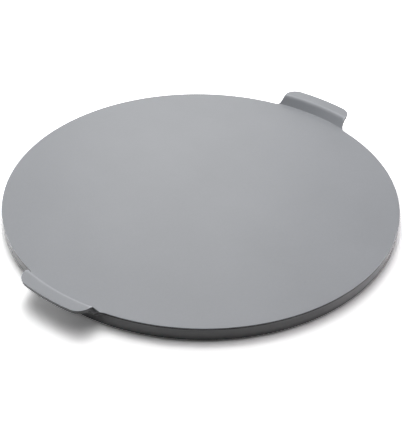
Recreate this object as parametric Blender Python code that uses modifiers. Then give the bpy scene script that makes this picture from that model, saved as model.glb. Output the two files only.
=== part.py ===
"""Round double-wall pizza pan with two raised lifting handles.

A thin baking sheet lies on a drawn base shell, and a corrugated spacer between them keeps
the sheet flat. Both skins carry the two handles, one skin nested in the other. The pan
stands on z = 0, its handles point along X, and every length is in metres.
"""

import math

import bmesh
import bpy

# Plate and rim
PLATE_RADIUS = 0.190
RIM_HEIGHT = 0.017
WALL_DRAFT = math.radians(6)
FLOOR_CORNER = 0.003

# Sheet gauges and the clearance between pieces that lie on each other
SHEET_GAUGE = 0.0012
SHELL_GAUGE = 0.0025
SPACER_GAUGE = 0.0010
CLEARANCE = 0.0003

# How far the shell's edge lies inside the sheet's
SHELL_INSET = 0.0006

# Handles, seen from above
HANDLE_WIDTH = 0.0765
HANDLE_REACH = 0.020
HANDLE_CORNER = 0.0135
HANDLE_FOOT = 0.0085

# Handles, seen from the side: the foot bend is the top face's, the other bends are underneath
HANDLE_RISE = 0.010
HANDLE_SLOPE = math.radians(61)
BEND_START = 0.0004
FOOT_BEND = 0.001
UNDER_BEND = 0.0025
ROOT_BEND = 0.002
ROOT_FILLET = 0.0023

# Stiffening beads and vent in the floor of the base shell
BEAD_WIDTH = 0.008
BEAD_HEIGHT = 0.001
VENT_DIAMETER = 0.003

# Corrugated spacer: round crests, the first at the centre, with a valley outside each one
SPACER_CRESTS = 4
SPACER_MARGIN = 0.002
SPACER_RAMP = 0.0066

# Fineness
TURN_STEPS = 96
SPACER_STEPS = 48
ARC_TOLERANCE = 0.00004
WIDEST_ARC_STEP = math.radians(18)
TRIM_MARGIN = 0.002

# Derived levels
SHEET_UNDERSIDE = RIM_HEIGHT - SHEET_GAUGE
LAND_DEPTH = SHEET_GAUGE + CLEARANCE
STACK = LAND_DEPTH + SHELL_GAUGE
BASE_CORNER = FLOOR_CORNER + SHELL_GAUGE
LIP_RADIUS = PLATE_RADIUS + HANDLE_REACH

# The skins are turned from half a step, so that no edge of theirs meets a corner of their outline
HALF_STEP = math.pi / TURN_STEPS


def arc(centre, radius, start, end):
    """Points on an arc, both ends included, whose chords stay within the tolerance."""
    step = min(WIDEST_ARC_STEP, 2 * math.acos(max(0.0, 1 - ARC_TOLERANCE / radius)))
    steps = max(1, math.ceil(abs(end - start) / step))
    angles = [start + (end - start) * i / steps for i in range(steps + 1)]
    return [(centre[0] + radius * math.cos(a), centre[1] + radius * math.sin(a)) for a in angles]


def rounded(corners):
    """A polyline through (x, y, radius) corners, with an arc at each corner that has a radius."""
    points = [corners[0][:2]]
    for before, corner, after in zip(corners, corners[1:], corners[2:]):
        x, y, radius = corner
        turn_in = math.atan2(y - before[1], x - before[0])
        turn_out = math.atan2(after[1] - y, after[0] - x)
        turn = (turn_out - turn_in + math.pi) % (2 * math.pi) - math.pi
        if radius == 0 or turn == 0:
            points.append((x, y))
            continue
        side = math.copysign(1, turn)
        setback = radius * math.tan(abs(turn) / 2)
        centre_x = x - setback * math.cos(turn_in) - side * radius * math.sin(turn_in)
        centre_y = y - setback * math.sin(turn_in) + side * radius * math.cos(turn_in)
        start = turn_in - side * math.pi / 2
        points += arc((centre_x, centre_y), radius, start, start + turn)
    return points + [corners[-1][:2]]


def foot_radius(depth):
    """Where the handle's slope would meet the plate's level, at a depth below the top face."""
    return PLATE_RADIUS + BEND_START + (FOOT_BEND + depth) * math.tan(HANDLE_SLOPE / 2)


def handle_corners(depth, foot_bend):
    """The handle's section at a depth below its top face: foot corner, crest corner and open end."""
    foot = foot_radius(depth)
    crest = foot + HANDLE_RISE / math.tan(HANDLE_SLOPE)
    lip_height = RIM_HEIGHT + HANDLE_RISE - depth
    return [
        (foot, RIM_HEIGHT - depth, foot_bend),
        (crest, lip_height, UNDER_BEND + STACK - depth),
        (LIP_RADIUS + TRIM_MARGIN, lip_height, 0),
    ]


def wall_radius(height, inset=0.0):
    """Radius of the tapered wall at a height, or of the face that lies inset inside it."""
    drop = RIM_HEIGHT - STACK - height
    return PLATE_RADIUS - drop * math.tan(WALL_DRAFT) - inset / math.cos(WALL_DRAFT)


def root_fillet():
    """Radius between the wall and the handle's underside, limited by the flat and the wall there."""
    quarter = math.tan((math.pi / 2 - WALL_DRAFT) / 2)
    flat = foot_radius(STACK) - PLATE_RADIUS - ROOT_BEND * math.tan(HANDLE_SLOPE / 2)
    wall = (RIM_HEIGHT - STACK) / math.cos(WALL_DRAFT) - BASE_CORNER * quarter
    return min(ROOT_FILLET, 0.98 * min(flat, wall) / quarter)


def spacer_edge():
    """Radius of the spacer's outer edge, which stays clear of the shell's rounded corner."""
    return wall_radius(SHELL_GAUGE, SHELL_GAUGE) - FLOOR_CORNER - SPACER_MARGIN


def half_wave():
    """Distance from the middle of a crest of the spacer to the middle of the next valley."""
    return (spacer_edge() + SPACER_RAMP / 2) / (2 * SPACER_CRESTS - 0.5)


def beads(floor):
    """Section points of the beads, one under each outer crest, on the face at the height floor."""
    half = BEAD_WIDTH / 2
    points = []
    for crest in range(1, SPACER_CRESTS):
        radius = 2 * crest * half_wave()
        points.append((radius - half, floor, 0))
        points.append((radius - half / 2, floor + BEAD_HEIGHT, 0))
        points.append((radius + half / 2, floor + BEAD_HEIGHT, 0))
        points.append((radius + half, floor, 0))
    return points


def collection(name):
    made = bpy.data.collections.new(name)
    bpy.context.scene.collection.children.link(made)
    return made


def material(name, colour, roughness, metallic):
    made = bpy.data.materials.new(name)
    made.use_nodes = True
    shader = made.node_tree.nodes["Principled BSDF"]
    shader.inputs["Base Color"].default_value = (*colour, 1)
    shader.inputs["Roughness"].default_value = roughness
    shader.inputs["Metallic"].default_value = metallic
    return made


def turned(name, section, steps, start, group):
    """An object that a section, points of (radius, height), sweeps about Z from the azimuth start."""
    mesh = bpy.data.meshes.new(name)
    edges = [(i, i + 1) for i in range(len(section) - 1)]
    across, along = math.cos(start), math.sin(start)
    mesh.from_pydata([(radius * across, radius * along, height) for radius, height in section], edges, [])
    made = bpy.data.objects.new(name, mesh)
    group.objects.link(made)
    screw = made.modifiers.new("Turn", "SCREW")
    screw.steps = steps
    screw.render_steps = steps
    screw.use_merge_vertices = True
    screw.merge_threshold = 0.00001
    screw.use_smooth_shade = True
    return made


def plan_outline(inset):
    """The plate's circle and the two handles from above, with their feet and corners, less an inset."""
    half = HANDLE_WIDTH / 2
    tip_x = math.sqrt((LIP_RADIUS - HANDLE_CORNER) ** 2 - (half - HANDLE_CORNER) ** 2)
    foot_x = math.sqrt((PLATE_RADIUS + HANDLE_FOOT) ** 2 - (half + HANDLE_FOOT) ** 2)
    tip_angle = math.atan2(half - HANDLE_CORNER, tip_x)
    foot_angle = math.atan2(half + HANDLE_FOOT, foot_x)
    half_lip = arc((0, 0), LIP_RADIUS - inset, 0, tip_angle)
    lip = [(x, -y) for x, y in half_lip[:0:-1]] + half_lip
    tip = (tip_x, half - HANDLE_CORNER)
    corner = arc(tip, HANDLE_CORNER - inset, tip_angle, math.pi / 2)
    foot = arc((foot_x, half + HANDLE_FOOT), HANDLE_FOOT + inset, -math.pi / 2, foot_angle - math.pi)
    turns = [2 * math.pi * i / TURN_STEPS for i in range(TURN_STEPS)]
    sweep = [a for a in turns if foot_angle < a < math.pi - foot_angle]
    rim_radius = PLATE_RADIUS - inset
    rim = [(rim_radius * math.cos(a), rim_radius * math.sin(a)) for a in sweep]
    lower = [(x, -y) for x, y in reversed(corner[1:] + foot)]
    half_turn = lower + lip + corner[1:] + foot + rim
    return half_turn + [(-x, -y) for x, y in half_turn]


def outline_cutter(name, inset, group):
    """A prism on the plan outline less an inset, which trims a skin to its edge."""
    curve = bpy.data.curves.new(name, "CURVE")
    curve.dimensions = "2D"
    curve.fill_mode = "BOTH"
    curve.extrude = RIM_HEIGHT + HANDLE_RISE + TRIM_MARGIN
    spline = curve.splines.new("POLY")
    points = plan_outline(inset)
    spline.points.add(len(points) - 1)
    for point, (x, y) in zip(spline.points, points):
        point.co = (x, y, 0, 1)
    spline.use_cyclic_u = True
    drawn = bpy.data.objects.new(name, curve)
    group.objects.link(drawn)
    bpy.context.view_layer.update()
    graph = bpy.context.evaluated_depsgraph_get()
    mesh = bpy.data.meshes.new_from_object(drawn.evaluated_get(graph))
    work = bmesh.new()
    work.from_mesh(mesh)
    bmesh.ops.remove_doubles(work, verts=work.verts, dist=0.00001)
    bmesh.ops.recalc_face_normals(work, faces=work.faces)
    work.to_mesh(mesh)
    work.free()
    bpy.data.objects.remove(drawn)
    cutter = bpy.data.objects.new(name, mesh)
    group.objects.link(cutter)
    return cutter


def vent_cutter(group):
    """A cylinder through the floor of the base shell, halfway from a bead to the next valley."""
    mesh = bpy.data.meshes.new("vent_cutter")
    work = bmesh.new()
    bmesh.ops.create_cone(
        work,
        cap_ends=True,
        segments=16,
        radius1=VENT_DIAMETER / 2,
        radius2=VENT_DIAMETER / 2,
        depth=4 * SHELL_GAUGE,
    )
    work.to_mesh(mesh)
    work.free()
    cutter = bpy.data.objects.new("vent_cutter", mesh)
    cutter.location = (0, 2.5 * half_wave(), 0)
    group.objects.link(cutter)
    return cutter


def boolean(piece, operation, cutter):
    modifier = piece.modifiers.new(cutter.name, "BOOLEAN")
    modifier.operation = operation
    modifier.object = cutter
    cutter.hide_render = True
    cutter.display_type = "WIRE"


def baking_sheet(group, trim):
    """The top skin: a flat disc whose edge rises into the two handles."""
    top = rounded([(0, RIM_HEIGHT, 0)] + handle_corners(0, FOOT_BEND))
    under = rounded([(0, SHEET_UNDERSIDE, 0)] + handle_corners(SHEET_GAUGE, FOOT_BEND + SHEET_GAUGE))
    piece = turned("baking_sheet", top + under[::-1], TURN_STEPS, HALF_STEP, group)
    boolean(piece, "INTERSECT", trim)
    piece.data.materials.append(material("coated_sheet", (0.36, 0.37, 0.38), 0.45, 0.0))


def base_shell(group, trim, vent):
    """The bottom skin: a shallow dish with a tapered wall and the undersides of the handles."""
    land = RIM_HEIGHT - LAND_DEPTH
    outer = rounded(
        [(0, 0, 0)]
        + beads(0)
        + [(wall_radius(0), 0, BASE_CORNER), (PLATE_RADIUS, RIM_HEIGHT - STACK, root_fillet())]
        + handle_corners(STACK, ROOT_BEND)
    )
    inner = rounded(
        [(0, SHELL_GAUGE, 0)]
        + beads(SHELL_GAUGE)
        + [
            (wall_radius(SHELL_GAUGE, SHELL_GAUGE), SHELL_GAUGE, FLOOR_CORNER),
            (wall_radius(land, SHELL_GAUGE), land, 0),
        ]
        + handle_corners(LAND_DEPTH, FOOT_BEND + LAND_DEPTH)
    )
    piece = turned("base_shell", inner + outer[::-1], TURN_STEPS, HALF_STEP, group)
    boolean(piece, "INTERSECT", trim)
    boolean(piece, "DIFFERENCE", vent)
    piece.data.materials.append(material("coated_shell", (0.33, 0.34, 0.35), 0.5, 0.0))


def spacer(group):
    """A plate of round corrugations that stands on the shell's floor and carries the sheet."""
    low = SHELL_GAUGE + CLEARANCE + SPACER_GAUGE
    high = SHEET_UNDERSIDE - CLEARANCE
    flat = (half_wave() - SPACER_RAMP) / 2
    section = [(0, high), (flat, high)]
    for crest in range(SPACER_CRESTS):
        middle = 2 * crest * half_wave()
        if crest:
            section += [(middle - flat, high), (middle + flat, high)]
        valley = middle + half_wave()
        section += [(valley - flat, low), (valley + flat, low)]
    piece = turned("spacer", section, SPACER_STEPS, 0, group)
    solid = piece.modifiers.new("Gauge", "SOLIDIFY")
    solid.thickness = SPACER_GAUGE
    solid.offset = -1
    solid.use_even_offset = True
    piece.data.materials.append(material("bare_aluminium", (0.60, 0.60, 0.61), 0.4, 1.0))


def main():
    for old in list(bpy.data.objects):
        bpy.data.objects.remove(old)
    pan = collection("pizza_pan")
    cutters = collection("cutters")
    baking_sheet(pan, outline_cutter("sheet_outline", 0, cutters))
    base_shell(pan, outline_cutter("shell_outline", SHELL_INSET, cutters), vent_cutter(cutters))
    spacer(pan)


main()
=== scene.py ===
"""Looks, light and camera for the round pizza pan.

The frame is the CAD model's: the pan stands on z = 0 and its handles point along X. Both
skins are made again here, with finer steps and softer edges.
"""

import math

import bmesh
import bpy
from mathutils import Matrix, Vector


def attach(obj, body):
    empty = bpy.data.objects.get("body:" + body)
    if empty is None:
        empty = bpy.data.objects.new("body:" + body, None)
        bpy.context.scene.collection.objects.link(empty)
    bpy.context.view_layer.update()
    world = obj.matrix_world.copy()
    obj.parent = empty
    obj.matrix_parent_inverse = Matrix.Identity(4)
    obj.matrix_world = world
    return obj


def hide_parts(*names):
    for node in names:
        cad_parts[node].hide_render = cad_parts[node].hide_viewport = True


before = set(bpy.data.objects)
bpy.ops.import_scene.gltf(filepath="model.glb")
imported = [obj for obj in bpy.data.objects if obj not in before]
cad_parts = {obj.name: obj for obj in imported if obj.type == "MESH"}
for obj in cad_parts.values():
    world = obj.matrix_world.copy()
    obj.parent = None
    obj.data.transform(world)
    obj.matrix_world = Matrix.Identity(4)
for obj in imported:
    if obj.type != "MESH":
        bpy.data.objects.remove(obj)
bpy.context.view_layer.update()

# The pan's sizes, as in the CAD model
PLATE_RADIUS = 0.190
RIM_HEIGHT = 0.017
WALL_DRAFT = math.radians(6)
FLOOR_CORNER = 0.003
SHEET_GAUGE = 0.0012
SHELL_GAUGE = 0.0025
CLEARANCE = 0.0003
HANDLE_WIDTH = 0.0765
HANDLE_REACH = 0.020
HANDLE_CORNER = 0.0135
HANDLE_FOOT = 0.0085
HANDLE_RISE = 0.010
HANDLE_SLOPE = math.radians(61)
BEND_START = 0.0004
FOOT_BEND = 0.001
UNDER_BEND = 0.0025
ROOT_BEND = 0.002
ROOT_FILLET = 0.0023
BEAD_RADII = (0.0493, 0.0985, 0.1478)
BEAD_WIDTH = 0.008
BEAD_HEIGHT = 0.001
BEAD_BEND = 0.003
VENT_DIAMETER = 0.003
VENT_RADIUS = 0.0616

# How far the shell is trimmed inside the sheet, edge rounding and fineness of the visible skins
SHELL_INSET = 0.0006
SHEET_EDGE = 0.0004
SHELL_EDGE = 0.0003
EDGE_STEPS = 6
EDGE_SUPPORT = 0.0004
TURN_STEPS = 240
ARC_TOLERANCE = 0.000006
WIDEST_ARC_STEP = math.radians(9)
SUPPORT = 0.0015
TRIM_MARGIN = 0.002
MERGE_DISTANCE = 0.000002
VENT_CUT = 0.01
FLAT = 0.99999

LAND_DEPTH = SHEET_GAUGE + CLEARANCE
STACK = LAND_DEPTH + SHELL_GAUGE
LIP_RADIUS = PLATE_RADIUS + HANDLE_REACH

# The camera, about the centre of the baking face
VIEW_AZIMUTH = math.radians(218.07)
VIEW_ELEVATION = math.radians(36.87)
VIEW_DISTANCE = 1.0737
VIEW_ROLL = math.radians(0.956)
VIEW_RIGHT = 0.0003
VIEW_UP = -0.0235
LENS = 91.65
SENSOR_WIDTH = 36
CLIP = (0.01, 50)

# Light: the floor's colour to bounced light and to the eye, its own glow, and the world's even light
FLOOR_BOUNCE = 0.05
FLOOR_SEEN = 2.0
FLOOR_GLOW = 0.03
WORLD_FILL = 0.02

# How far from the pan's centre the floor fades to plain white, from and to, and where it ends
FLOOR_FADE = (0.45, 1.0)
FLOOR_REACH = 4

# Colour and roughness of the two coats, and the greys of the spacer's bare metal
SHEET_COAT = ((0.356, 0.37, 0.397), 0.42)
SHELL_COAT = ((0.335, 0.34, 0.355), 0.22)
ROLLED_GREYS = ((0.52, 0.52, 0.53, 1), (0.68, 0.68, 0.69, 1))

# The coats' texture: lumps per metre, the shares of the colour in them, and bumps' strength and depth
CLOUDS = 11
PEEL = 380
GRAIN = 620
FINE_GRAIN = 1900
CLOUD_SHARES = (0.965, 1.03)
GRAIN_SHARES = (0.975, 1.02)
ROUGHNESS_SPREAD = 0.04
PEEL_BUMP = (0.25, 0.00004)
GRAIN_BUMP = (0.2, 0.00002)

# Marks on the coats. Each is placed by how level a face is (1 where it lies flat), by how sharp
# it is (above 0.5 on an outer edge) or by its height, and shaded by a share of the coat's colour.
# The edge wear is real wear. The rest is painted light: painted shade on the cut edges, low on the
# wall and below the sheet's edge, and painted highlights on the brim and the handles' crests.
# Real wear on sharp edges. Its pale share of the coat's colour also colours the painted highlight on the
# crests.
WEAR_RIDGE = (0.51, 0.58)
WEAR_MOST = 0.8
WEAR_AND_HIGHLIGHT_SHARE = 1.4
# Painted shade on the sheet's cut edges: how steep a face must be, and the share of the coat's colour
CUT_FACING = (0.15, 0.4)
CUT_PAINTED_SHADE = 0.4
# Painted highlight along the sheet's brim: how sharp, how level, and the paler share of the coat's colour
BRIM_RIDGE = (0.507, 0.514)
BRIM_LEVEL = (0.35, 0.65)
BRIM_PAINTED_HIGHLIGHT = 1.5
# Painted highlight on the handles' crests, between their steep and their flat faces
CREST_STEEP = (0.78, 0.88)
CREST_FLAT = (0.95, 0.992)
CREST_PAINTED_HIGHLIGHT = 0.6
# Painted shade near the floor: the heights it fades over, its share of the coat's colour, and the lower
# sheen there
LOW_SHADE_HEIGHTS = (0.002, 0.0085)
LOW_PAINTED_SHADE = 0.36
LOW_SHADE_SHEEN = 0.2
# Painted shade in a band just below the sheet's edge: its heights and share of the coat's colour
SEAM_HEIGHTS = (0.0140, 0.0148)
SEAM_PAINTED_SHADE = 0.25

# The studio's axes are x to the camera's right, y away from it and z up
STUDIO = Matrix.Rotation(VIEW_AZIMUTH - math.radians(270), 4, "Z")


def sweep(radius, start, end):
    """Evenly spaced angles, an even number of steps, whose chords stay within the tolerance."""
    step = min(WIDEST_ARC_STEP, 2 * math.acos(1 - ARC_TOLERANCE / radius))
    steps = 2 * math.ceil(abs(end - start) / step / 2)
    return [start + (end - start) * i / steps for i in range(steps + 1)]


def arc(centre, radius, start, end):
    """Points on an arc, both ends included."""
    x, y = centre
    return [(x + radius * math.cos(a), y + radius * math.sin(a)) for a in sweep(radius, start, end)]


def rounded(corners):
    """A polyline through (x, y, radius) corners, with an arc at each corner that has a radius."""
    points = [corners[0][:2]]
    for before, corner, after in zip(corners, corners[1:], corners[2:]):
        x, y, radius = corner
        turn_in = math.atan2(y - before[1], x - before[0])
        turn_out = math.atan2(after[1] - y, after[0] - x)
        turn = (turn_out - turn_in + math.pi) % (2 * math.pi) - math.pi
        if radius == 0 or turn == 0:
            points.append((x, y))
            continue
        side = math.copysign(1, turn)
        setback = radius * math.tan(abs(turn) / 2)
        centre_x = x - setback * math.cos(turn_in) - side * radius * math.sin(turn_in)
        centre_y = y - setback * math.sin(turn_in) + side * radius * math.cos(turn_in)
        start = turn_in - side * math.pi / 2
        points += arc((centre_x, centre_y), radius, start, start + turn)
    return points + [corners[-1][:2]]


def supported(points):
    """The polyline with extra points near the ends of its long runs, so shading stays flat there."""
    made = [points[0]]
    for (x0, y0), (x1, y1) in zip(points, points[1:]):
        length = math.hypot(x1 - x0, y1 - y0)
        if length > 5 * SUPPORT:
            for place in (SUPPORT, 2 * SUPPORT, length - 2 * SUPPORT, length - SUPPORT):
                share = place / length
                made.append((x0 + (x1 - x0) * share, y0 + (y1 - y0) * share))
        made.append((x1, y1))
    return made


def handle_corners(depth, foot_bend):
    """The handle's section at a depth below its top face: foot corner, crest corner and open end."""
    foot = PLATE_RADIUS + BEND_START + (FOOT_BEND + depth) * math.tan(HANDLE_SLOPE / 2)
    crest = foot + HANDLE_RISE / math.tan(HANDLE_SLOPE)
    lip_height = RIM_HEIGHT + HANDLE_RISE - depth
    return [
        (foot, RIM_HEIGHT - depth, foot_bend),
        (crest, lip_height, UNDER_BEND + STACK - depth),
        (LIP_RADIUS + TRIM_MARGIN, lip_height, 0),
    ]


def wall_radius(height, inset=0.0):
    drop = RIM_HEIGHT - STACK - height
    return PLATE_RADIUS - drop * math.tan(WALL_DRAFT) - inset / math.cos(WALL_DRAFT)


def beads(floor):
    """Section corners of the rounded stiffening beads, for the face at the height floor."""
    half = BEAD_WIDTH / 2
    points = []
    for radius in BEAD_RADII:
        points.append((radius - half, floor, BEAD_BEND))
        points.append((radius - half / 2, floor + BEAD_HEIGHT, BEAD_BEND))
        points.append((radius + half / 2, floor + BEAD_HEIGHT, BEAD_BEND))
        points.append((radius + half, floor, BEAD_BEND))
    return points


def trim_arc(centre, radius, angles, side):
    """Points on an arc of the plan, each with its inward direction. Side is 1 if that is the centre's."""
    x, y = centre
    ways = [(math.cos(a), math.sin(a)) for a in angles]
    return [(x + radius * c, y + radius * s, -side * c, -side * s) for c, s in ways]


def plan_outline():
    """The pan from above, as (x, y, inward x, inward y): the plate's circle and the two handles."""
    half = HANDLE_WIDTH / 2
    tip_x = math.sqrt((LIP_RADIUS - HANDLE_CORNER) ** 2 - (half - HANDLE_CORNER) ** 2)
    foot_x = math.sqrt((PLATE_RADIUS + HANDLE_FOOT) ** 2 - (half + HANDLE_FOOT) ** 2)
    tip = math.atan2(half - HANDLE_CORNER, tip_x)
    foot = math.atan2(half + HANDLE_FOOT, foot_x)
    turns = [2 * math.pi * i / TURN_STEPS for i in range(TURN_STEPS)]
    lip = trim_arc((0, 0), LIP_RADIUS, sweep(LIP_RADIUS, -tip, tip), 1)
    corner_sweep = sweep(HANDLE_CORNER, tip, math.pi / 2)[1:]
    corner = trim_arc((tip_x, half - HANDLE_CORNER), HANDLE_CORNER, corner_sweep, 1)
    foot_sweep = sweep(HANDLE_FOOT, -math.pi / 2, foot - math.pi)
    side = corner + trim_arc((foot_x, half + HANDLE_FOOT), HANDLE_FOOT, foot_sweep, -1)
    rim = trim_arc((0, 0), PLATE_RADIUS, [a for a in turns if foot < a < math.pi - foot], 1)
    other_side = [(x, -y, in_x, -in_y) for x, y, in_x, in_y in reversed(side)]
    half_turn = other_side + lip + side + rim
    return half_turn + [(-x, -y, -in_x, -in_y) for x, y, in_x, in_y in half_turn]


def height_at(section, radius):
    """The height of a section, points of (radius, height) from the centre outward, at a radius."""
    after = next(i for i, point in enumerate(section) if point[0] > radius)
    (near, low), (far, high) = section[after - 1 : after + 1]
    return low + (high - low) * (radius - near) / (far - near)


def face_points(section, spot, edge, turn):
    """One face's points on a radial line: out along the section, then round the trimmed edge.

    The spot is a point of the plan. Points of the section that lie past the edge collapse onto it.
    Turn is -1 where the edge rounds downward and 1 where it rounds upward.
    """
    x, y, in_x, in_y = spot

    def inset(distance, drop):
        place_x, place_y = x + in_x * distance, y + in_y * distance
        return place_x, place_y, height_at(section, math.hypot(place_x, place_y)) + turn * drop

    support = EDGE_SUPPORT if edge else 0
    start = inset(edge + 2 * support, 0)
    reach = math.hypot(*start[:2])
    out_x, out_y = start[0] / reach, start[1] / reach
    points = [(r * out_x, r * out_y, h) if r < reach else start for r, h in section]
    points.append(inset(edge + support, 0))
    for step in range(EDGE_STEPS + 1):
        angle = math.pi / 2 * step / EDGE_STEPS
        points.append(inset(edge * (1 - math.sin(angle)), edge * (1 - math.cos(angle))))
    return points


def skin(name, top, under, edge, inset, square_inside):
    """A closed sheet between two sections, trimmed to the plan less an inset, with rounded edges.

    Inside the radius square_inside the lower edge stays square, because the wall rises there.
    """
    work = bmesh.new()
    columns = []
    for x, y, in_x, in_y in plan_outline():
        spot = (x + in_x * inset, y + in_y * inset, in_x, in_y)
        room = math.hypot(*spot[:2]) - square_inside
        under_edge = min(edge, max(0.0, room / 2))
        points = face_points(top, spot, edge, -1) + face_points(under, spot, under_edge, 1)[::-1]
        columns.append([work.verts.new(point) for point in points])
    for left, right in zip(columns, columns[1:] + columns[:1]):
        for corners in zip(left, left[1:], right[1:], right):
            work.faces.new(corners)
    bmesh.ops.remove_doubles(work, verts=work.verts, dist=MERGE_DISTANCE)
    bmesh.ops.recalc_face_normals(work, faces=work.faces)
    mesh = bpy.data.meshes.new(name)
    work.to_mesh(mesh)
    work.free()
    made = bpy.data.objects.new(name, mesh)
    bpy.context.scene.collection.objects.link(made)
    return made


def prism(name, outline, low, high):
    """A closed upright prism on an outline, to cut with."""
    work = bmesh.new()
    base = work.faces.new([work.verts.new((x, y, low)) for x, y in outline])
    grown = bmesh.ops.extrude_face_region(work, geom=[base])
    for item in grown["geom"]:
        if isinstance(item, bmesh.types.BMVert):
            item.co.z = high
    bmesh.ops.recalc_face_normals(work, faces=work.faces)
    mesh = bpy.data.meshes.new(name)
    work.to_mesh(mesh)
    work.free()
    made = bpy.data.objects.new(name, mesh)
    bpy.context.scene.collection.objects.link(made)
    return made


def finished(piece, material, node):
    """Applies the piece's modifiers and lets it stand for its CAD node."""
    bpy.context.view_layer.update()
    graph = bpy.context.evaluated_depsgraph_get()
    mesh = bpy.data.meshes.new_from_object(piece.evaluated_get(graph))
    piece.modifiers.clear()
    piece.data = mesh
    mesh.materials.clear()
    mesh.materials.append(material)
    for face in mesh.polygons:
        face.use_smooth = abs(face.normal.z) < FLAT
    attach(piece, "root")
    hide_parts(node)


def add(tree, kind, **inputs):
    """A new shader node. Inputs are set by name, with _ for a space, from a value or a socket."""
    made = tree.nodes.new(kind)
    for name, value in inputs.items():
        socket = made.inputs[name.replace("_", " ")]
        if isinstance(value, bpy.types.NodeSocket):
            tree.links.new(value, socket)
        else:
            socket.default_value = value
    return made


def noise(tree, where, scale, detail, roughness=0.55):
    made = add(tree, "ShaderNodeTexNoise", Vector=where, Scale=scale, Detail=detail)
    made.inputs["Roughness"].default_value = roughness
    return made.outputs["Fac"]


def ranged(tree, value, low, high, to_low, to_high):
    made = tree.nodes.new("ShaderNodeMapRange")
    tree.links.new(value, made.inputs["Value"])
    for name, number in (("From Min", low), ("From Max", high), ("To Min", to_low), ("To Max", to_high)):
        made.inputs[name].default_value = number
    return made.outputs["Result"]


def mixed(tree, factor, first, second, blend="MIX"):
    made = tree.nodes.new("ShaderNodeMix")
    made.data_type = "RGBA"
    made.blend_type = blend
    for name, value in (("Factor_Float", factor), ("A_Color", first), ("B_Color", second)):
        socket = next(s for s in made.inputs if s.identifier == name)
        if isinstance(value, bpy.types.NodeSocket):
            tree.links.new(value, socket)
        else:
            socket.default_value = value
    return next(s for s in made.outputs if s.identifier == "Result_Color")


def computed(tree, operation, *values):
    """The result of a Math node on one or two sockets."""
    made = tree.nodes.new("ShaderNodeMath")
    made.operation = operation
    for value, socket in zip(values, made.inputs):
        tree.links.new(value, socket)
    return made.outputs[0]


def grey(value):
    return (value, value, value, 1)


def scaled(colour, share):
    return (*[min(1.0, c * share) for c in colour], 1)


def grey_coat(name, colour, roughness):
    """Satin baked-on coating with faint clouding, fine grain, orange peel and paler worn edges.

    Gives the material with its shader and colour, so that a skin can add its own marks.
    """
    made = bpy.data.materials.new(name)
    made.use_nodes = True
    tree = made.node_tree
    shader = tree.nodes["Principled BSDF"]
    where = tree.nodes.new("ShaderNodeTexCoord").outputs["Object"]
    clouds = ranged(tree, noise(tree, where, CLOUDS, 3), 0.3, 0.7, 0.0, 1.0)
    grain = ranged(tree, noise(tree, where, GRAIN, 2, 0.7), 0.3, 0.7, 0.0, 1.0)
    peel = noise(tree, where, PEEL, 1)
    fine = noise(tree, where, FINE_GRAIN, 2)
    clouded = mixed(tree, clouds, *[scaled(colour, share) for share in CLOUD_SHARES])
    speckled = mixed(tree, grain, *[grey(share) for share in GRAIN_SHARES])
    base = mixed(tree, 1.0, clouded, speckled, "MULTIPLY")
    ridge = tree.nodes.new("ShaderNodeNewGeometry").outputs["Pointiness"]
    wear = ranged(tree, ridge, *WEAR_RIDGE, 0.0, WEAR_MOST)
    worn = mixed(tree, wear, base, scaled(colour, WEAR_AND_HIGHLIGHT_SHARE))
    smoothest, roughest = roughness - ROUGHNESS_SPREAD, roughness + ROUGHNESS_SPREAD
    tree.links.new(ranged(tree, grain, 0, 1, smoothest, roughest), shader.inputs["Roughness"])
    bumped = None
    for height, (strength, distance) in ((peel, PEEL_BUMP), (fine, GRAIN_BUMP)):
        bump = add(tree, "ShaderNodeBump", Strength=strength, Distance=distance, Height=height)
        if bumped:
            tree.links.new(bumped, bump.inputs["Normal"])
        bumped = bump.outputs["Normal"]
    tree.links.new(bumped, shader.inputs["Normal"])
    return made, shader, worn


def sheet_look():
    """The coat on the sheet: painted shade on its cut edges, painted highlights on its brim and the
    handles' crests.
    """
    colour, roughness = SHEET_COAT
    made, shader, worn = grey_coat("grey_coating", colour, roughness)
    tree = made.node_tree
    geometry = tree.nodes.new("ShaderNodeNewGeometry").outputs
    facing = add(tree, "ShaderNodeSeparateXYZ", Vector=geometry["True Normal"]).outputs["Z"]
    level = computed(tree, "ABSOLUTE", facing)
    # Painted highlight: the bends between the handles' risers and lips take a paler share of the coat's
    # colour.
    steep = ranged(tree, level, *CREST_STEEP, 0.0, 1.0)
    flat = ranged(tree, level, *CREST_FLAT, CREST_PAINTED_HIGHLIGHT, 0.0)
    crest_highlighted = mixed(tree, computed(tree, "MULTIPLY", steep, flat), worn, scaled(colour, WEAR_AND_HIGHLIGHT_SHARE))
    # Painted highlight: sharp, partly upward faces along the brim take a paler share of the coat's colour.
    sharp = ranged(tree, geometry["Pointiness"], *BRIM_RIDGE, 0.0, 1.0)
    upward = ranged(tree, level, *BRIM_LEVEL, 0.0, 1.0)
    brim_highlighted = mixed(tree, computed(tree, "MULTIPLY", sharp, upward), crest_highlighted, scaled(colour, BRIM_PAINTED_HIGHLIGHT))
    # Painted shade: the near-upright cut faces of the sheet take a darker share of the coat's colour.
    cut_shaded = mixed(tree, ranged(tree, level, *CUT_FACING, 0.0, 1.0), scaled(colour, CUT_PAINTED_SHADE), brim_highlighted)
    tree.links.new(cut_shaded, shader.inputs["Base Color"])
    return made


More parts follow.
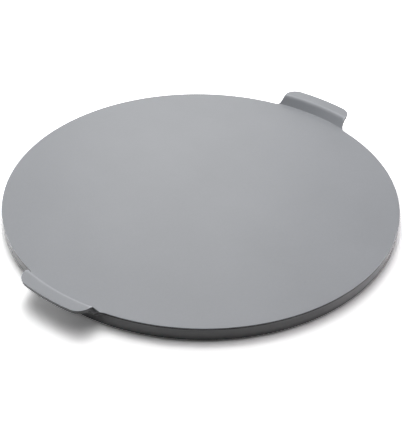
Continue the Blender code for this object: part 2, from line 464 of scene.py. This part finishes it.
def shell_look():
    """The coat on the shell: painted shade towards the bottom of the wall and underneath, and in a band
    below the sheet's edge.
    """
    colour, roughness = SHELL_COAT
    made, shader, worn = grey_coat("grey_coating_underneath", colour, roughness)
    tree = made.node_tree
    where = tree.nodes.new("ShaderNodeTexCoord").outputs["Object"]
    height = add(tree, "ShaderNodeSeparateXYZ", Vector=where).outputs["Z"]
    # Painted shade: darker and less glossy towards the bottom of the wall and underneath.
    unshaded = ranged(tree, height, *LOW_SHADE_HEIGHTS, 0.0, 1.0)
    low_shaded = mixed(tree, unshaded, scaled(colour, LOW_PAINTED_SHADE), worn)
    # Painted shade in a band just below the sheet's edge, left off on faces above the sheet's underside.
    seam_shaded = mixed(tree, ranged(tree, height, *SEAM_HEIGHTS, 0.0, 1.0), low_shaded, scaled(colour, SEAM_PAINTED_SHADE))
    above = ranged(tree, height, RIM_HEIGHT - SHEET_GAUGE, RIM_HEIGHT, 0.0, 1.0)
    tree.links.new(mixed(tree, above, seam_shaded, low_shaded), shader.inputs["Base Color"])
    sheen = ranged(tree, unshaded, 0.0, 1.0, LOW_SHADE_SHEEN, 0.5)
    tree.links.new(sheen, shader.inputs["Specular IOR Level"])
    return made


def rolled_aluminium(name):
    """Bare rolled sheet: fine streaks along one way, with a soft metallic sheen."""
    made = bpy.data.materials.new(name)
    made.use_nodes = True
    tree = made.node_tree
    shader = tree.nodes["Principled BSDF"]
    shader.inputs["Metallic"].default_value = 1.0
    where = tree.nodes.new("ShaderNodeTexCoord").outputs["Object"]
    stretched = add(tree, "ShaderNodeMapping", Vector=where, Scale=(20, 900, 900)).outputs["Vector"]
    streaks = noise(tree, stretched, 1, 3)
    colour = mixed(tree, streaks, *ROLLED_GREYS)
    tree.links.new(colour, shader.inputs["Base Color"])
    tree.links.new(ranged(tree, streaks, 0, 1, 0.28, 0.5), shader.inputs["Roughness"])
    bump = add(tree, "ShaderNodeBump", Strength=0.3, Distance=0.00002, Height=streaks)
    tree.links.new(bump.outputs["Normal"], shader.inputs["Normal"])
    return made


def make_sheet():
    """The top skin: a flat disc whose edge rises into the two handles."""
    top = rounded([(0, RIM_HEIGHT, 0)] + handle_corners(0, FOOT_BEND))
    under_start = (0, RIM_HEIGHT - SHEET_GAUGE, 0)
    under = rounded([under_start] + handle_corners(SHEET_GAUGE, FOOT_BEND + SHEET_GAUGE))
    sheet = skin("sheet_skin", supported(top), supported(under), SHEET_EDGE, 0, 0)
    finished(sheet, sheet_look(), "baking_sheet")


def make_shell():
    """The bottom skin: a shallow dish with a tapered wall and the undersides of the handles."""
    land = RIM_HEIGHT - LAND_DEPTH
    outer = rounded(
        [(0, 0, 0)]
        + beads(0)
        + [
            (wall_radius(0), 0, FLOOR_CORNER + SHELL_GAUGE),
            (PLATE_RADIUS, RIM_HEIGHT - STACK, ROOT_FILLET),
        ]
        + handle_corners(STACK, ROOT_BEND)
    )
    inner = rounded(
        [(0, SHELL_GAUGE, 0)]
        + beads(SHELL_GAUGE)
        + [
            (wall_radius(SHELL_GAUGE, SHELL_GAUGE), SHELL_GAUGE, FLOOR_CORNER),
            (wall_radius(land, SHELL_GAUGE), land, 0),
        ]
        + handle_corners(LAND_DEPTH, FOOT_BEND + LAND_DEPTH)
    )
    wall_end = PLATE_RADIUS + ROOT_FILLET
    shell = skin("shell_skin", supported(inner), supported(outer), SHELL_EDGE, SHELL_INSET, wall_end)
    hole = arc((0, VENT_RADIUS), VENT_DIAMETER / 2, 0, 2 * math.pi)[:-1]
    vent = prism("vent_cutter", hole, -VENT_CUT, VENT_CUT)
    modifier = shell.modifiers.new("Vent", "BOOLEAN")
    modifier.operation = "DIFFERENCE"
    modifier.object = vent
    finished(shell, shell_look(), "base_shell")
    bpy.data.objects.remove(vent)


def dress_spacer():
    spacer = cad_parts["spacer"]
    spacer.data.materials.clear()
    spacer.data.materials.append(rolled_aluminium("rolled_aluminium"))


def seen_rays(tree):
    """1 for the rays that show a background: the camera's, reflected and transmitted ones."""
    rays = tree.nodes.new("ShaderNodeLightPath").outputs
    bounced = computed(tree, "MAXIMUM", rays["Is Glossy Ray"], rays["Is Transmission Ray"])
    return computed(tree, "MAXIMUM", rays["Is Camera Ray"], bounced)


def make_floor():
    """A plain white floor, which keeps the pan's shadow and lets the lamp below it light the underside."""
    work = bmesh.new()
    bmesh.ops.create_grid(work, x_segments=8, y_segments=8, size=FLOOR_REACH)
    mesh = bpy.data.meshes.new("floor")
    work.to_mesh(mesh)
    work.free()
    floor = bpy.data.objects.new("floor", mesh)
    bpy.context.scene.collection.objects.link(floor)
    made = bpy.data.materials.new("white_floor")
    made.use_nodes = True
    tree = made.node_tree
    tree.nodes.clear()
    seen = seen_rays(tree)
    colour = mixed(tree, seen, grey(FLOOR_BOUNCE), grey(FLOOR_SEEN))
    matte = add(tree, "ShaderNodeBsdfDiffuse", Color=colour)
    glow = add(tree, "ShaderNodeEmission", Color=mixed(tree, seen, grey(0), grey(FLOOR_GLOW)))
    both = tree.nodes.new("ShaderNodeAddShader")
    tree.links.new(matte.outputs[0], both.inputs[0])
    tree.links.new(glow.outputs[0], both.inputs[1])
    clear = tree.nodes.new("ShaderNodeBsdfTransparent")
    where = tree.nodes.new("ShaderNodeTexCoord").outputs["Object"]
    distance = add(tree, "ShaderNodeVectorMath", Vector=where)
    distance.operation = "LENGTH"
    far = ranged(tree, distance.outputs["Value"], *FLOOR_FADE, 0.0, 1.0)
    plain = add(tree, "ShaderNodeEmission", Color=mixed(tree, seen, grey(FLOOR_BOUNCE), grey(1)))
    whole = tree.nodes.new("ShaderNodeMixShader")
    tree.links.new(far, whole.inputs[0])
    tree.links.new(both.outputs[0], whole.inputs[1])
    tree.links.new(plain.outputs[0], whole.inputs[2])
    below = tree.nodes.new("ShaderNodeNewGeometry").outputs["Backfacing"]
    shadow = tree.nodes.new("ShaderNodeLightPath").outputs["Is Shadow Ray"]
    pick = tree.nodes.new("ShaderNodeMixShader")
    tree.links.new(computed(tree, "MAXIMUM", below, shadow), pick.inputs[0])
    tree.links.new(whole.outputs[0], pick.inputs[1])
    tree.links.new(clear.outputs[0], pick.inputs[2])
    out = tree.nodes.new("ShaderNodeOutputMaterial")
    tree.links.new(pick.outputs[0], out.inputs["Surface"])
    mesh.materials.append(made)


def make_world():
    """Dim even light on the pan, and plain white wherever a seen or reflected ray passes the floor."""
    world = bpy.data.worlds.new("studio")
    bpy.context.scene.world = world
    world.use_nodes = True
    tree = world.node_tree
    tree.nodes.clear()
    fill = add(tree, "ShaderNodeBackground", Color=grey(1), Strength=WORLD_FILL)
    white = add(tree, "ShaderNodeBackground", Color=grey(1), Strength=1.0)
    pick = tree.nodes.new("ShaderNodeMixShader")
    tree.links.new(seen_rays(tree), pick.inputs[0])
    tree.links.new(fill.outputs[0], pick.inputs[1])
    tree.links.new(white.outputs[0], pick.inputs[2])
    out = tree.nodes.new("ShaderNodeOutputWorld")
    tree.links.new(pick.outputs[0], out.inputs["Surface"])


def make_lamp(name, place, target, width, height, watts, colour=(1, 1, 1)):
    """A softbox. Place and target are in the studio's axes."""
    data = bpy.data.lights.new(name, "AREA")
    data.shape = "RECTANGLE"
    data.size = width
    data.size_y = height
    data.energy = watts
    data.color = colour
    lamp = bpy.data.objects.new(name, data)
    lamp.visible_camera = False
    bpy.context.scene.collection.objects.link(lamp)
    start = STUDIO @ Vector(place)
    aim = STUDIO @ Vector(target)
    turn = (aim - start).to_track_quat("-Z", "Y").to_matrix().to_4x4()
    lamp.matrix_world = Matrix.Translation(start) @ turn
    return lamp


def make_lamps():
    """Soft lights high behind the pan, a mirrored glow just above its top, and low ones round the sides."""
    centre = (0.0, 0.0, 0.0)
    make_lamp("over_back", (0.0, 0.7, 2.0), centre, 0.9, 0.9, 2.5)
    make_lamp("over", (0.0, 0.3, 2.1), centre, 0.9, 0.9, 5.6)
    make_lamp("over_far", (0.0, 1.2, 1.8), centre, 1.0, 1.0, 4.1)
    make_lamp("over_left", (-0.7, 0.5, 2.0), centre, 0.9, 0.9, 4.05)
    make_lamp("over_front", (0.0, -0.5, 2.0), centre, 0.9, 0.9, 4.2)
    make_lamp("high", (0.0, 0.36, 2.07), centre, 0.5, 0.5, 2.0)
    make_lamp("high_right", (0.5, 0.6, 1.95), centre, 0.5, 0.5, 1.0)
    make_lamp("high_side", (0.5, -0.2, 2.0), centre, 0.5, 0.5, 0.5)
    make_lamp("low_left", (-1.4, 1.6, 0.4), centre, 1.2, 0.5, 13.7)
    make_lamp("left_low", (-1.6, 0.0, 0.3), centre, 1.2, 0.5, 2.4)
    make_lamp("left_back", (-1.6, 0.9, 0.5), centre, 1.0, 0.7, 1.6)
    make_lamp("right_low", (1.6, 0.0, 0.3), centre, 1.2, 0.5, 1.2, (1.0, 0.97, 0.99))
    make_lamp("right_mid", (1.6, 0.0, 1.0), centre, 1.0, 1.0, 3.0, (1.0, 0.93, 0.97))
    make_lamp("right_back", (1.6, 0.9, 0.5), centre, 1.0, 0.7, 3.4, (1.0, 0.95, 0.99))
    make_lamp("near_left", (-0.35, 0.25, 0.7), (-0.1, 0.05, 0.0), 0.5, 0.5, 0.2)
    make_lamp("near_mirror", (-0.05, 0.75, 0.55), centre, 0.4, 0.4, 1.2, (1.0, 0.99, 0.95))
    under = make_lamp("under", (-0.03, -0.03, -0.09), centre, 0.3, 0.3, 0.2)
    under.data.shape = "DISK"
    under.data.spread = math.radians(12)


def make_camera():
    data = bpy.data.cameras.new("camera")
    data.sensor_width = SENSOR_WIDTH
    data.lens = LENS
    data.clip_start, data.clip_end = CLIP
    camera = bpy.data.objects.new("camera", data)
    bpy.context.scene.collection.objects.link(camera)
    ahead = Vector((0, math.cos(VIEW_ELEVATION), -math.sin(VIEW_ELEVATION)))
    upright = Vector((0, math.sin(VIEW_ELEVATION), math.cos(VIEW_ELEVATION)))
    level = Vector((1, 0, 0))
    place = -VIEW_DISTANCE * ahead + VIEW_RIGHT * level + VIEW_UP * upright + Vector((0, 0, RIM_HEIGHT))
    right = math.cos(VIEW_ROLL) * level + math.sin(VIEW_ROLL) * upright
    up = math.cos(VIEW_ROLL) * upright - math.sin(VIEW_ROLL) * level
    turn = Matrix((right, up, -ahead)).transposed().to_4x4()
    camera.matrix_world = STUDIO @ Matrix.Translation(place) @ turn
    bpy.context.scene.camera = camera


def main():
    make_camera()
    make_sheet()
    make_shell()
    dress_spacer()
    make_floor()
    make_world()
    make_lamps()
    bpy.context.scene.view_settings.view_transform = "Standard"


main()
